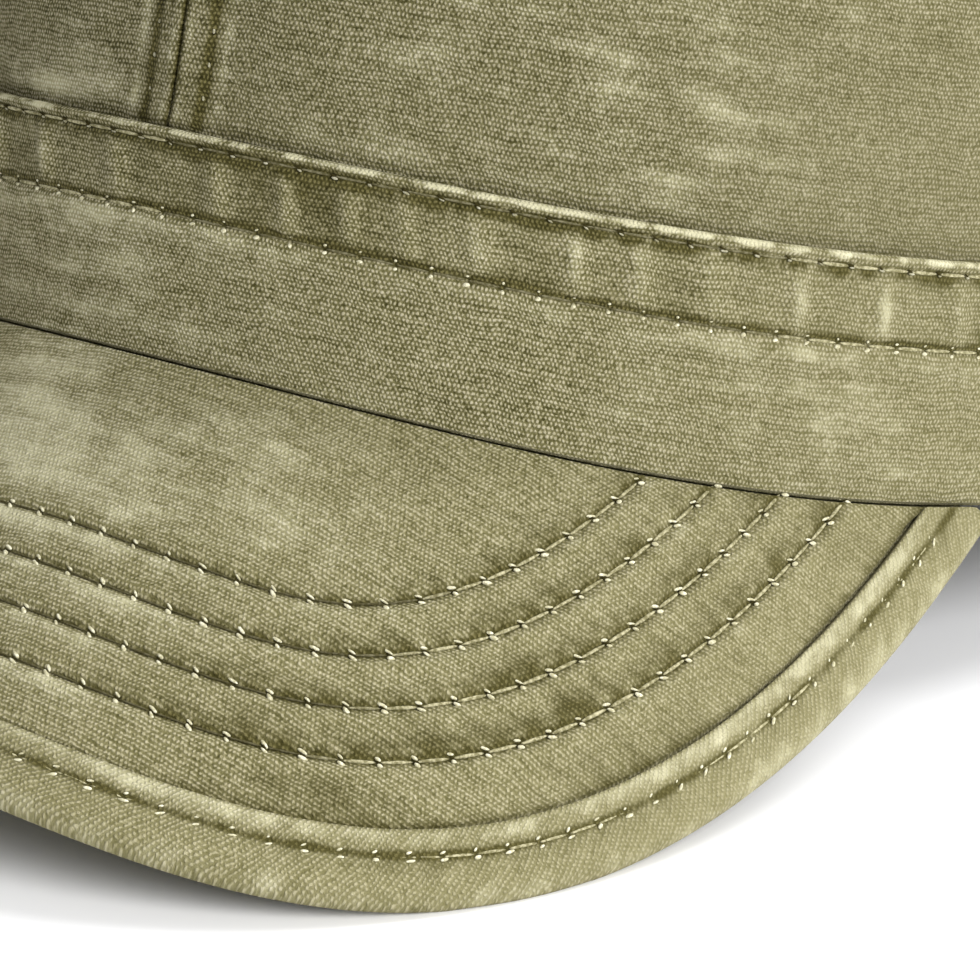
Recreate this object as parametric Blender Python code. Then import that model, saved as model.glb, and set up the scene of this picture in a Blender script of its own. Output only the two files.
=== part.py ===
"""A soft military cap with a flat top, a wide band and a stiff, cloth-covered peak.

Metres, +Z up, the front towards -Y, symmetric about X = 0. The cap is modelled as it is worn, level on its
band, and is then laid down: it rests on the back of its band and on the two low corners of its peak.
"""
import math
from collections import namedtuple

import bmesh
import bpy
import numpy as np
from mathutils import Matrix, Vector

# The head opening, measured over the outer face of the band
HALF_WIDTH = 0.0844
HALF_LENGTH = 0.1023
FRONT_NARROWING = 0.115  # how much slimmer the front is than the back, as a share of the half width

# The band
BAND_HEIGHT = 0.0250
STRIP_WIDTH = 0.0091  # from the folded top edge down to the lower row of stitches
BAND_THICKNESS = 0.0020
OVERLAP_THICKNESS = 0.0012  # the band where it lies over the crown
BAND_LEAN = 0.02  # outward lean, as a slope
FOLD_RADIUS = 0.0006
EDGE_TO_STITCHES = 0.0014  # from the folded top edge down to the upper row
STITCH_GROOVE = 0.00036
FRONT_RISE_BOTTOM = 0.0062  # the lower edge is lifted over the peak
FRONT_RISE_TOP = 0.0035
RISE_ANGLE = 1.04  # radians from the front at which the lift has run out

# The crown
CROWN_THICKNESS = 0.0012
CROWN_FRONT_HEIGHT = 0.060  # above the band
CROWN_BACK_HEIGHT = 0.057
TOP_DOME = 0.0040
TOP_WAVE = 0.0010  # the top panel's soft waves
SEAM_RIB_WIDTH = 0.0036  # each side of the centre seams
SEAM_RIB = 0.0004
TOP_SEWN = 0.96  # the top panel's ring of stitches, as a share of the way out
TOP_ROUNDED = 0.99  # where the top panel's edge turns down
DENTS_START = 0.2  # share of the crown's height over which the dents grow to their full depth
DENTS_END = 6  # exponent of the height, dents fade out towards the top edge

# The peak, as its flat pattern and the slope it is sewn at
PEAK_SLOPE = math.radians(35.3)
PEAK_DEPTH = 0.0510  # forward of the band, along the cloth
PEAK_HALF_WIDTH = 0.0815
PEAK_CORNER_DEPTH = 0.1219  # from the front edge back to the outline's widest point
PEAK_ROUNDNESS = 2.95  # exponent of the outline, 2 is an ellipse
PEAK_THICKNESS = 0.0022
PEAK_EDGE_STEP = 0.00055  # the board is thinner on each face under the binding

# The binding
BINDING_WIDTH = 0.0067
BINDING_THICKNESS = 0.0009

# Fits
GAP = 0.0003  # between the meshes of two pieces
FLATTENED = 0.0006  # how deep the cloth is pressed flat where it rests
MOST_PITCH = 0.6  # radians, the resting lean is sought below this
PITCH_HALVINGS = 40

# Mesh fineness
AROUND = 80  # round the whole head
PEAK_COLUMNS = 40
BINDING_STATIONS = 56
PEAK_FACE_SHARES = (0.0, 0.16, 0.36, 0.58, 0.80, 1.0)  # rows across the peak, from the band to the binding
ROOT_REACH = 1.35  # radians each side of the front for which the band's lower edge is sampled
ROOT_SAMPLES = 541
CURVE_SAMPLES = 721  # of the peak's outline, evenly turned
OUTLINE_SAMPLES = 1201  # of the same outline, evenly spaced
SHARP_ANGLE = math.radians(50.0)
MERGED = 1e-6  # corners closer than this are one

CrownSection = namedtuple("CrownSection", "height width length shift")
CROWN_SECTIONS = (
    # height: share of the crown's height; width, length, shift: shares of the head's half width and length
    CrownSection(0.00, 1.000, 1.000, 0.000),
    CrownSection(0.12, 1.008, 1.004, 0.000),
    CrownSection(0.32, 1.012, 1.004, 0.002),
    CrownSection(0.54, 0.998, 0.994, 0.004),
    CrownSection(0.76, 0.972, 0.976, 0.006),
    CrownSection(0.92, 0.948, 0.958, 0.008),
    CrownSection(1.00, 0.934, 0.948, 0.009),
)

Dent = namedtuple("Dent", "angle spread height reach depth")
CROWN_DENTS = (
    # angle from the front and spread in degrees, height and reach as shares of the crown's height,
    # depth as a share of the crown's front height
    Dent(34.0, 15.0, 0.74, 0.24, 0.026),
    Dent(66.0, 18.0, 0.52, 0.30, 0.034),
    Dent(104.0, 17.0, 0.72, 0.26, 0.030),
    Dent(140.0, 16.0, 0.48, 0.30, 0.036),
    Dent(166.0, 10.0, 0.80, 0.20, 0.016),
)

Material = namedtuple("Material", "color roughness metallic")
MATERIALS = {
    "crown": Material((0.260, 0.235, 0.125, 1.0), 0.92, 0.0),
    "band": Material((0.235, 0.212, 0.108, 1.0), 0.92, 0.0),
    "peak": Material((0.270, 0.243, 0.128, 1.0), 0.90, 0.0),
    "binding": Material((0.330, 0.300, 0.160, 1.0), 0.88, 0.0),
}


def clear_scene():
    for item in list(bpy.data.objects):
        bpy.data.objects.remove(item, do_unlink=True)


def material_for(name):
    finish = MATERIALS[name]
    material = bpy.data.materials.new(name)
    material.use_nodes = True
    shader = material.node_tree.nodes["Principled BSDF"]
    shader.inputs["Base Color"].default_value = finish.color
    shader.inputs["Roughness"].default_value = finish.roughness
    shader.inputs["Metallic"].default_value = finish.metallic
    return material


# The head's outline seen from above. An angle is measured from the front, positive to the wearer's left.

def outline_point(angle):
    x = HALF_WIDTH * math.sin(angle) * (1.0 - FRONT_NARROWING * math.cos(angle))
    return Vector((x, -HALF_LENGTH * math.cos(angle), 0.0))


def outward(angle):
    step = 1e-4
    along = outline_point(angle + step) - outline_point(angle - step)
    return Vector((along.y, -along.x, 0.0)).normalized()


def front_rise(angle):
    share = min(abs(angle) / RISE_ANGLE, 1.0)
    return 0.5 + 0.5 * math.cos(math.pi * share)


def wrapped(angle):
    return math.remainder(angle, 2.0 * math.pi)


def band_bottom(angle):
    return FRONT_RISE_BOTTOM * front_rise(wrapped(angle))


def band_top(angle):
    return BAND_HEIGHT + FRONT_RISE_TOP * front_rise(wrapped(angle))


def band_point(angle, out, up):
    """A point of the band: out from its outer face, up along it from the lower edge."""
    share = up / BAND_HEIGHT
    height = band_bottom(angle) + (band_top(angle) - band_bottom(angle)) * share
    place = outline_point(angle) + outward(angle) * (out + BAND_LEAN * up)
    return Vector((place.x, place.y, height))


# The crown

def between(low, high, share):
    return low + (high - low) * share


def crown_section(height):
    """The section at a share of the crown's height, between the table's rows."""
    heights = [row.height for row in CROWN_SECTIONS]
    values = []
    for column in ("width", "length", "shift"):
        rows = [getattr(row, column) for row in CROWN_SECTIONS]
        values.append(float(np.interp(height, heights, rows)))
    return values


def crown_height(angle):
    return between(CROWN_FRONT_HEIGHT, CROWN_BACK_HEIGHT, 0.5 - 0.5 * math.cos(angle))


def dent_depth(angle, height):
    total = 0.0
    side = math.degrees(abs(wrapped(angle)))
    for dent in CROWN_DENTS:
        across = (side - dent.angle) / dent.spread
        along = (height - dent.height) / dent.reach
        total += dent.depth * CROWN_FRONT_HEIGHT * math.exp(-across * across - along * along)
    return total


def crown_base(angle, inset):
    """Where the crown leaves the band, a distance inside the band's outer face."""
    return band_point(angle, -inset, BAND_HEIGHT)


def crown_point(angle, height, inset):
    """A point of the crown's wall at a share of its height above the band."""
    width, length, shift = crown_section(height)
    base = crown_base(angle, inset)
    fade = (1.0 - height ** DENTS_END) * min(height / DENTS_START, 1.0)
    dent = dent_depth(angle, height) * fade
    place = Vector((base.x * width, base.y * length + shift * HALF_LENGTH, 0.0)) - outward(angle) * dent
    place.z = between(base.z, BAND_HEIGHT + crown_height(angle), height)
    return place


# The peak is a flat board bent round lines that run straight forward and down

class PeakShape:
    """Carries the peak's flat pattern (u across, v forward) onto its bent surface."""

    def __init__(self):
        angles = np.linspace(-ROOT_REACH, ROOT_REACH, ROOT_SAMPLES)
        root = np.array([tuple(self.root_point(angle)) for angle in angles])
        self.forward = np.array((0.0, -math.cos(PEAK_SLOPE), -math.sin(PEAK_SLOPE)))
        self.upward = np.array((0.0, -math.sin(PEAK_SLOPE), math.cos(PEAK_SLOPE)))
        self.angles = angles
        self.x = root[:, 0]
        self.rise = root @ self.upward
        self.ahead = root @ self.forward
        steps = np.hypot(np.diff(self.x), np.diff(self.rise))
        across = np.concatenate(((0.0,), np.cumsum(steps)))
        self.u = across - np.interp(0.0, angles, across)
        self.start = float(np.interp(0.0, angles, self.ahead))
        self.slope_x = np.gradient(self.x, self.u)
        self.slope_rise = np.gradient(self.rise, self.u)

    @staticmethod
    def root_point(angle):
        """The line where the peak meets the band's lower edge."""
        return band_point(angle, GAP, 0.0)

    def root_flat(self, angle):
        u = np.interp(angle, self.angles, self.u)
        return np.array((u, np.interp(angle, self.angles, self.ahead) - self.start))

    def lift(self, flat, above=0.0):
        """The point in space for a point of the flat pattern, a height above the top face."""
        u, v = float(flat[0]), float(flat[1])
        x = np.interp(u, self.u, self.x)
        rise = np.interp(u, self.u, self.rise)
        place = np.array((x, 0.0, 0.0)) + (v + self.start) * self.forward + rise * self.upward
        normal = np.interp(u, self.u, self.slope_x) * self.upward
        normal = normal - np.array((np.interp(u, self.u, self.slope_rise), 0.0, 0.0))
        place = place + above * normal / np.linalg.norm(normal)
        return Vector(place.tolist())


def pattern_outline(count):
    """The peak's outline on its flat pattern, left to right, evenly spaced, with inward normals."""
    power = 2.0 / PEAK_ROUNDNESS
    turn = np.linspace(-0.5 * math.pi, 0.5 * math.pi, CURVE_SAMPLES)
    side, front = np.sin(turn), np.maximum(np.cos(turn), 0.0)
    u = PEAK_HALF_WIDTH * np.sign(side) * np.abs(side) ** power
    v = PEAK_DEPTH - PEAK_CORNER_DEPTH + PEAK_CORNER_DEPTH * front ** power
    length = np.concatenate(((0.0,), np.cumsum(np.hypot(np.diff(u), np.diff(v)))))
    even = np.linspace(0.0, length[-1], count)
    points = np.stack((np.interp(even, length, u), np.interp(even, length, v)), -1)
    along = np.gradient(points, axis=0)
    along /= np.linalg.norm(along, axis=1)[:, None]
    inward = np.stack((along[:, 1], -along[:, 0]), -1)
    return points, inward


def root_distance(shape, points, inward):
    """How far each outline point lies in front of the band's edge, measured along its inward normal."""
    root = np.stack([shape.root_flat(angle) for angle in shape.angles])
    distances = []
    for point, normal in zip(points, inward):
        offset = root - point
        ahead = offset @ normal
        aside = offset @ np.array((-normal[1], normal[0]))
        crossings = np.where(aside[:-1] * aside[1:] <= 0.0)[0]
        shares = aside[crossings] / (aside[crossings] - aside[crossings + 1])
        reach = ahead[crossings] + (ahead[crossings + 1] - ahead[crossings]) * shares
        distances.append(float(reach.min()) if len(reach) else -1.0)
    return np.array(distances)


def outline_run(shape, clearance, count):
    """Even stations of the outline that lie at least a distance in front of the band."""
    points, inward = pattern_outline(OUTLINE_SAMPLES)
    distance = root_distance(shape, points, inward)
    kept = np.where(distance >= clearance)[0]
    picks = np.linspace(kept[0], kept[-1], count)
    whole = np.arange(len(points))
    run = np.stack([np.interp(picks, whole, points[:, k]) for k in (0, 1)], -1)
    turned = np.stack([np.interp(picks, whole, inward[:, k]) for k in (0, 1)], -1)
    room = np.interp(picks, whole, distance)
    return run, turned, room


# Solids. Each is a grid of a path by a profile, bent onto its shape and closed.

def bent_grid(path_steps, profile_steps, place, close_path, close_profile=True):
    """A grid with corner (i, j) at place(i, j). An open path is capped, an open profile ends in points."""
    mesh = bmesh.new()
    bmesh.ops.create_grid(mesh, x_segments=path_steps, y_segments=profile_steps, size=1.0)
    for vert in mesh.verts:
        i = round((vert.co.x + 1.0) / 2.0 * path_steps)
        j = round((vert.co.y + 1.0) / 2.0 * profile_steps)
        if close_path:
            i %= path_steps
        if close_profile:
            j %= profile_steps
        vert.co = place(i, j)
    bmesh.ops.remove_doubles(mesh, verts=mesh.verts, dist=MERGED)
    if not close_path:
        rims = [edge for edge in mesh.edges if edge.is_boundary]
        bmesh.ops.holes_fill(mesh, edges=rims, sides=0)
    bmesh.ops.recalc_face_normals(mesh, faces=mesh.faces)
    return mesh


def add_piece(name, mesh, material, parent):
    data = bpy.data.meshes.new(name)
    mesh.to_mesh(data)
    mesh.free()
    data.materials.append(material)
    data.shade_smooth()
    data.set_sharp_from_angle(angle=SHARP_ANGLE)
    piece = bpy.data.objects.new(name, data)
    bpy.context.scene.collection.objects.link(piece)
    piece.parent = parent
    return piece


def band_profile():
    """The band's section, out from its outer face and up from its lower edge, once round."""
    fold = BAND_THICKNESS / 2.0
    low_row = BAND_HEIGHT - STRIP_WIDTH
    top_row = BAND_HEIGHT - EDGE_TO_STITCHES
    groove = STITCH_GROOVE
    beside = 3.0 * STITCH_GROOVE
    belly = 0.3 * groove
    corner_in, corner_up = 0.3 * fold, 0.15 * fold
    return (
        (-fold, 0.0),
        (-corner_in, corner_up),
        (0.0, fold),
        (0.0, low_row - beside),
        (-groove, low_row),
        (0.5 * belly, low_row + beside),
        (belly, between(low_row, top_row, 0.5)),
        (0.0, top_row - 0.8 * beside),
        (-groove, top_row),
        (0.5 * FOLD_RADIUS, BAND_HEIGHT - FOLD_RADIUS),
        (-0.5 * OVERLAP_THICKNESS, BAND_HEIGHT),
        (-OVERLAP_THICKNESS, BAND_HEIGHT - FOLD_RADIUS),
        (-OVERLAP_THICKNESS, low_row + GAP),
        (-BAND_THICKNESS, low_row),
        (-BAND_THICKNESS, fold),
        (corner_in - BAND_THICKNESS, corner_up),
    )


def make_band(parent, material):
    profile = band_profile()

    def place(i, j):
        out, up = profile[j]
        return band_point(2.0 * math.pi * i / AROUND, out, up)

    return add_piece("band", bent_grid(AROUND, len(profile), place, True), material, parent)


def half_stations(side):
    """Angles round one half of the crown, with a close row at each edge of the seams' ribs."""
    speed = HALF_WIDTH * (1.0 - FRONT_NARROWING), HALF_WIDTH * (1.0 + FRONT_NARROWING)
    steps = AROUND // 2
    least_step = 0.01
    stations = []
    for end, pace in ((0.0, speed[0]), (math.pi, speed[1])):
        sign = 1.0 if end == 0.0 else -1.0
        for distance, rib in ((GAP / 2.0, 1.0), (SEAM_RIB_WIDTH, 1.0), (1.25 * SEAM_RIB_WIDTH, 0.0)):
            stations.append((end + sign * distance / pace, rib))
    first = stations[2][0]
    last = stations[5][0]
    for step in range(steps + 1):
        angle = math.pi * step / steps
        if first + least_step < angle < last - least_step:
            stations.append((angle, 0.0))
    stations.sort()
    return [(side * angle, rib) for angle, rib in stations]


def make_crown_half(name, side, parent, material):
    stations = half_stations(side)
    inset = OVERLAP_THICKNESS + GAP
    low_row = BAND_HEIGHT - STRIP_WIDTH
    hidden = (low_row + 3.0 * GAP, between(low_row, BAND_HEIGHT, 0.5), BAND_HEIGHT - FOLD_RADIUS)
    shares = [row.height for row in CROWN_SECTIONS[1:]]
    rows = [("hidden", up) for up in hidden] + [("wall", share) for share in shares]
    profile = [(kind, value, 0.0) for kind, value in rows]
    profile += [(kind, value, CROWN_THICKNESS) for kind, value in reversed(rows)]

    def place(i, j):
        angle, rib = stations[i]
        kind, value, depth = profile[j]
        if kind == "hidden":
            return band_point(angle, -inset - depth, value)
        proud = SEAM_RIB * rib if depth == 0.0 else 0.0
        point = crown_point(angle, value, inset + depth)
        return point + outward(angle) * proud

    mesh = bent_grid(len(stations) - 1, len(profile), place, False)
    return add_piece(name, mesh, material, parent)


def make_crown_top(parent, material):
    """The flat top: an oval panel that sits on the wall's upper edge, a little domed."""
    inset = OVERLAP_THICKNESS + GAP
    centre = Vector((0.0, CROWN_SECTIONS[-1].shift * HALF_LENGTH, 0.0))
    middle_height = BAND_HEIGHT + between(CROWN_FRONT_HEIGHT, CROWN_BACK_HEIGHT, 0.5)
    rings = (0.0, 0.35, 0.65, 0.86, TOP_SEWN)
    profile = [(share, 0.0) for share in rings] + [(TOP_ROUNDED, 0.0), (1.0, 0.5 * CROWN_THICKNESS)]
    profile += [(TOP_ROUNDED, CROWN_THICKNESS)] + [(share, CROWN_THICKNESS) for share in reversed(rings[:-1])]

    def place(i, j):
        angle = 2.0 * math.pi * i / AROUND
        share, depth = profile[j]
        rim = crown_point(angle, 1.0, inset)
        point = centre + (Vector((rim.x, rim.y, 0.0)) - centre) * share
        dome = TOP_DOME * (1.0 - share * share)
        wave = TOP_WAVE * math.cos(3.0 * angle) * math.sin(math.pi * share)
        pulled = STITCH_GROOVE if share == TOP_SEWN and depth == 0.0 else 0.0
        flat = between(middle_height, rim.z, share)
        point.z = flat + GAP + CROWN_THICKNESS + dome + wave - pulled - depth
        return point

    mesh = bent_grid(AROUND, len(profile) - 1, place, True, close_profile=False)
    return add_piece("crown_top", mesh, material, parent)


def make_peak(shape, parent, material):
    """The board: full thickness up to the binding, then a thinner rim inside it."""
    step_at = BINDING_WIDTH + GAP
    shoulder = step_at + GAP
    tip = BINDING_THICKNESS + GAP
    round_off = 0.5 * tip
    least = shoulder + 5.0 * GAP
    run, inward, room = outline_run(shape, least, PEAK_COLUMNS + 1)
    flats = np.stack([shape.root_flat(angle) for angle in shape.angles])
    ends = []
    for index in (0, -1):
        met = run[index] + inward[index] * room[index]
        ends.append(shape.angles[int(np.hypot(*(flats - met).T).argmin())])
    root_line = [shape.root_flat(angle) for angle in np.linspace(ends[0], ends[1], PEAK_COLUMNS + 1)]
    low = -PEAK_THICKNESS
    rim_high = -PEAK_EDGE_STEP
    rim_low = low + PEAK_EDGE_STEP
    profile = [("face", share, 0.0) for share in PEAK_FACE_SHARES]
    profile += [("rim", step_at, rim_high), ("rim", tip + round_off, rim_high), ("rim", tip, 0.5 * low)]
    profile += [("rim", tip + round_off, rim_low), ("rim", step_at, rim_low)]
    profile += [("face", share, low) for share in reversed(PEAK_FACE_SHARES)]

    def place(i, j):
        kind, value, above = profile[j]
        if kind == "rim":
            return shape.lift(run[i] + inward[i] * value, above)
        outer = run[i] + inward[i] * shoulder
        return shape.lift(root_line[i] + (outer - root_line[i]) * value, above)

    mesh = bent_grid(PEAK_COLUMNS, len(profile), place, False)
    return add_piece("peak", mesh, material, parent)


def make_binding(shape, parent, material):
    """The strip folded round the peak's edge, narrower where it runs up to the band."""
    least = 2.0 * BINDING_THICKNESS + 3.0 * GAP
    run, inward, room = outline_run(shape, least, BINDING_STATIONS + 1)
    middle = -0.5 * PEAK_THICKNESS
    inner_top = -PEAK_EDGE_STEP + GAP
    outer_top = inner_top + BINDING_THICKNESS
    outer_radius = outer_top - middle
    inner_radius = inner_top - middle

    def half(turns, radius):
        return [(outer_radius - radius * math.cos(turn), middle + radius * math.sin(turn)) for turn in turns]

    quarter = 0.5 * math.pi
    arc = (quarter, 0.5 * quarter, 0.0, -0.5 * quarter, -quarter)
    outer = half(arc, outer_radius)
    inner = half(reversed(arc), inner_radius)

    def section(width):
        top = [(width, outer_top)]
        low_side = [(width, 2.0 * middle - outer_top), (width, 2.0 * middle - inner_top)]
        return top + outer + low_side + inner + [(width, inner_top)]

    count = len(section(BINDING_WIDTH))

    def place(i, j):
        width = min(BINDING_WIDTH, room[i] - GAP)
        inward_by, above = section(width)[j]
        return shape.lift(run[i] + inward[i] * inward_by, above)

    mesh = bent_grid(BINDING_STATIONS, count, place, False)
    return add_piece("peak_binding", mesh, material, parent)


# Laying the cap down

def lowest(points, pitch):
    turn = Matrix.Rotation(pitch, 3, "X")
    return min((turn @ point).z for point in points)


def resting_pitch(binding, band):
    """The backward lean at which the peak's corners and the back of the band are equally low."""
    front = [vert.co.copy() for vert in binding.data.vertices]
    back = [vert.co.copy() for vert in band.data.vertices if vert.co.y > 0.0]
    low, high = 0.0, MOST_PITCH
    for _ in range(PITCH_HALVINGS):
        pitch = 0.5 * (low + high)
        # a negative turn about X lifts the front
        if lowest(front, -pitch) < lowest(back, -pitch):
            low = pitch
        else:
            high = pitch
    return 0.5 * (low + high)


def lay_down(pieces, parent, pitch):
    """Turn the pieces to their resting lean, press flat what touches, and set the origin below the middle."""
    turn = Matrix.Rotation(-pitch, 4, "X")
    floor = min((turn @ vert.co).z for piece in pieces for vert in piece.data.vertices) + FLATTENED
    back = turn.inverted()
    for piece in pieces:
        for vert in piece.data.vertices:
            place = turn @ vert.co
            if place.z < floor:
                place.z = floor
                vert.co = back @ place
    ys = [(turn @ vert.co).y for piece in pieces for vert in piece.data.vertices]
    parent.rotation_euler.x = -pitch
    parent.location = (0.0, -0.5 * (min(ys) + max(ys)), -floor)


def main():
    clear_scene()
    cap = bpy.data.objects.new("cap", None)
    bpy.context.scene.collection.objects.link(cap)
    materials = {name: material_for(name) for name in MATERIALS}
    shape = PeakShape()
    band = make_band(cap, materials["band"])
    binding = make_binding(shape, cap, materials["binding"])
    pieces = [
        band,
        binding,
        make_peak(shape, cap, materials["peak"]),
        make_crown_half("crown_left", 1.0, cap, materials["crown"]),
        make_crown_half("crown_right", -1.0, cap, materials["crown"]),
        make_crown_top(cap, materials["crown"]),
    ]
    lay_down(pieces, cap, resting_pitch(binding, band))


main()
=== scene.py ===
"""The looks of a washed canvas military cap: woven cloth, sewn edges, puckers and threads over its solids.

Metres, +Z up, the front towards -Y. Each piece of cloth is worked out as the cap is worn, level on its band,
and is then laid down on its resting place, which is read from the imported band.
"""
import math
from collections import namedtuple

import bmesh
import bpy
import numpy as np
from mathutils import Matrix, Vector
from mathutils.kdtree import KDTree


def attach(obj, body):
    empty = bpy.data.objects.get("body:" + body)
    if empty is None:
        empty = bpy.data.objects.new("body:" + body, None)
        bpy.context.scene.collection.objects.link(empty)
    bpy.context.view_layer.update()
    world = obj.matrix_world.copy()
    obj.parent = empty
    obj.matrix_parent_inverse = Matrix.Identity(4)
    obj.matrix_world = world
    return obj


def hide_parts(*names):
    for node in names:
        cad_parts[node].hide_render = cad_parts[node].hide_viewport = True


# The head opening, measured over the outer face of the band
HALF_WIDTH = 0.0844
HALF_LENGTH = 0.1023
FRONT_NARROWING = 0.115

# The band
BAND_HEIGHT = 0.0250
STRIP_WIDTH = 0.0091
BAND_THICKNESS = 0.0020
OVERLAP_THICKNESS = 0.0012
BAND_LEAN = 0.02
FOLD_RADIUS = 0.0006
EDGE_TO_STITCHES = 0.0014
FRONT_RISE_BOTTOM = 0.0062
FRONT_RISE_TOP = 0.0035
RISE_ANGLE = 1.04
LOW_ROW = BAND_HEIGHT - STRIP_WIDTH
TOP_ROW = BAND_HEIGHT - EDGE_TO_STITCHES

# The crown
CROWN_THICKNESS = 0.0012
CROWN_FRONT_HEIGHT = 0.060
CROWN_BACK_HEIGHT = 0.057
TOP_DOME = 0.0040
TOP_WAVE = 0.0010
SEAM_HALF_WIDTH = 0.0036
SEAM_RIB = 0.0004
SEAM_STITCHES = 0.0032  # each side of the centre seams
SEAM_LEAN = -0.016  # radians at the foot of the front seam
SEAM_LEAN_HEIGHT = 0.0050

# The peak
PEAK_SLOPE = math.radians(35.3)
PEAK_DEPTH = 0.0510
PEAK_HALF_WIDTH = 0.0815
PEAK_CORNER_DEPTH = 0.1219
PEAK_ROUNDNESS = 2.95
PEAK_THICKNESS = 0.0022
PEAK_EDGE_STEP = 0.00055
PEAK_ROWS = (0.0137, 0.0190, 0.0243, 0.0296)  # in from the outer edge, along the cloth

# The binding
BINDING_WIDTH = 0.0067
BINDING_THICKNESS = 0.0009
BINDING_ROW = 0.0044  # in from the outer edge, along the cloth

# Sewing
GAP = 0.0003
STITCH = 0.00343
THREAD_HALF_WIDTH = 0.00020

# The stiffened crests of the band's strip that the photo shows, along the band from the front to the left
SEEN_PUCKERS = (
    -0.0245, -0.0162, -0.0061, 0.0056, 0.0128, 0.0190, 0.0244, 0.0313, 0.0406, 0.0469, 0.0541, 0.0634, 0.0729,
    0.0820,
)
PUCKER_PITCH = 0.0086

CrownSection = namedtuple("CrownSection", "height width length shift")
CROWN_SECTIONS = (
    # height: share of the crown's height; width, length, shift: shares of the head's half width and length
    CrownSection(0.00, 1.000, 1.000, 0.000),
    CrownSection(0.12, 1.008, 1.004, 0.000),
    CrownSection(0.32, 1.012, 1.004, 0.002),
    CrownSection(0.54, 0.998, 0.994, 0.004),
    CrownSection(0.76, 0.972, 0.976, 0.006),
    CrownSection(0.92, 0.948, 0.958, 0.008),
    CrownSection(1.00, 0.934, 0.948, 0.009),
)

Dent = namedtuple("Dent", "angle spread height reach depth")
CROWN_DENTS = (
    # angle and spread in degrees, height and reach as shares of the crown's height, depth of its front height
    Dent(34.0, 15.0, 0.74, 0.24, 0.026),
    Dent(66.0, 18.0, 0.52, 0.30, 0.034),
    Dent(104.0, 17.0, 0.72, 0.26, 0.030),
    Dent(140.0, 16.0, 0.48, 0.30, 0.036),
    Dent(166.0, 10.0, 0.80, 0.20, 0.016),
)

# The camera, about the cap as it is worn: degrees, metres, and pixels of a 980 pixel frame
CAMERA_AZIMUTH = math.radians(27.388)
CAMERA_ELEVATION = math.radians(12.982)
CAMERA_ROLL = math.radians(7.901)
CAMERA_DISTANCE = 0.3202
CAMERA_TARGET = np.array((0.01872, -0.06305, -0.00830))
CAMERA_FOCUS_PIXELS = 3009.4
FRAME_PIXELS = 980.0


# Smooth random relief

def lattice(seed, size=64):
    return np.random.default_rng(seed).random((size, size)) * 2.0 - 1.0


def softened(share):
    return share * share * (3.0 - 2.0 * share)


def rolling(x, y, cell_x, cell_y, seed):
    """Smooth noise from -1 to 1 with cells of the given size."""
    values = lattice(seed)
    size = len(values)
    a = x / cell_x + 17.3
    b = y / cell_y + 9.1
    i = np.floor(a).astype(int)
    j = np.floor(b).astype(int)
    p = softened(a - i)
    q = softened(b - j)
    low = values[i % size, j % size] * (1 - p) + values[(i + 1) % size, j % size] * p
    high = values[i % size, (j + 1) % size] * (1 - p) + values[(i + 1) % size, (j + 1) % size] * p
    return low * (1 - q) + high * q


def hump(x, centre, width):
    return np.exp(-(((x - centre) / width) ** 2))


def blend(low, high, share):
    return low + (high - low) * share


Swell = namedtuple("Swell", "length height share seed slant", defaults=(0.0,))
SWELLS = {
    # the cloth's soft unevenness: length along it, height across it, share, seed, and how far it leans
    "band_shake": (Swell(0.0017, 0.0030, 1.0, 3), Swell(0.0006, 0.0010, 0.6, 6)),
    "band_drift": (Swell(0.0130, 0.0085, 1.0, 4), Swell(0.0060, 0.0100, 0.5, 5, 0.6)),
    "crown_shake": (Swell(0.0040, 0.0022, 1.0, 11),),
    "crown_drift": (Swell(0.0230, 0.0170, 1.0, 12), Swell(0.0085, 0.0120, 0.45, 13)),
    "top_drift": (Swell(0.0260, 0.0210, 1.0, 21), Swell(0.0110, 0.0140, 0.5, 22)),
    "peak_shake": (Swell(0.0026, 0.0026, 1.0, 31),),
    "peak_drift": (Swell(0.0210, 0.0150, 1.0, 32), Swell(0.0075, 0.0065, 0.5, 33)),
    "binding_shake": (Swell(0.0018, 0.0030, 1.0, 41),),
    "binding_drift": (Swell(0.0095, 0.0060, 1.0, 42),),
}


def swelling(name, x, y):
    total = np.zeros_like(x)
    for swell in SWELLS[name]:
        total += swell.share * rolling(x + swell.slant * y, y, swell.length, swell.height, swell.seed)
    return total


# The cap's form as it is worn. An angle is measured from the front, positive to the wearer's left.

def centred(angle):
    """The same angle, within half a turn of the front."""
    return (angle + math.pi) % (2.0 * math.pi) - math.pi


def lengths(x, y):
    """How far along a drawn line each of its points lies."""
    return np.concatenate(((0.0,), np.cumsum(np.hypot(np.diff(x), np.diff(y)))))


def outline(angle):
    x = HALF_WIDTH * np.sin(angle) * (1.0 - FRONT_NARROWING * np.cos(angle))
    return np.stack((x, -HALF_LENGTH * np.cos(angle)), -1)


def outward(angle):
    across = np.cos(angle) * (1.0 - FRONT_NARROWING * np.cos(angle)) + FRONT_NARROWING * np.sin(angle) ** 2
    away = np.stack((HALF_LENGTH * np.sin(angle), -HALF_WIDTH * across), -1)
    return away / np.linalg.norm(away, axis=-1, keepdims=True)


def front_rise(angle):
    return 0.5 + 0.5 * np.cos(math.pi * np.minimum(np.abs(centred(angle)) / RISE_ANGLE, 1.0))


def band_point(angle, out, up):
    low = FRONT_RISE_BOTTOM * front_rise(angle)
    high = BAND_HEIGHT + FRONT_RISE_TOP * front_rise(angle)
    flat = outline(angle) + outward(angle) * np.expand_dims(out + BAND_LEAN * up, -1)
    height = low + (high - low) * up / BAND_HEIGHT
    return np.concatenate((flat, np.expand_dims(height, -1)), -1)


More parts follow.
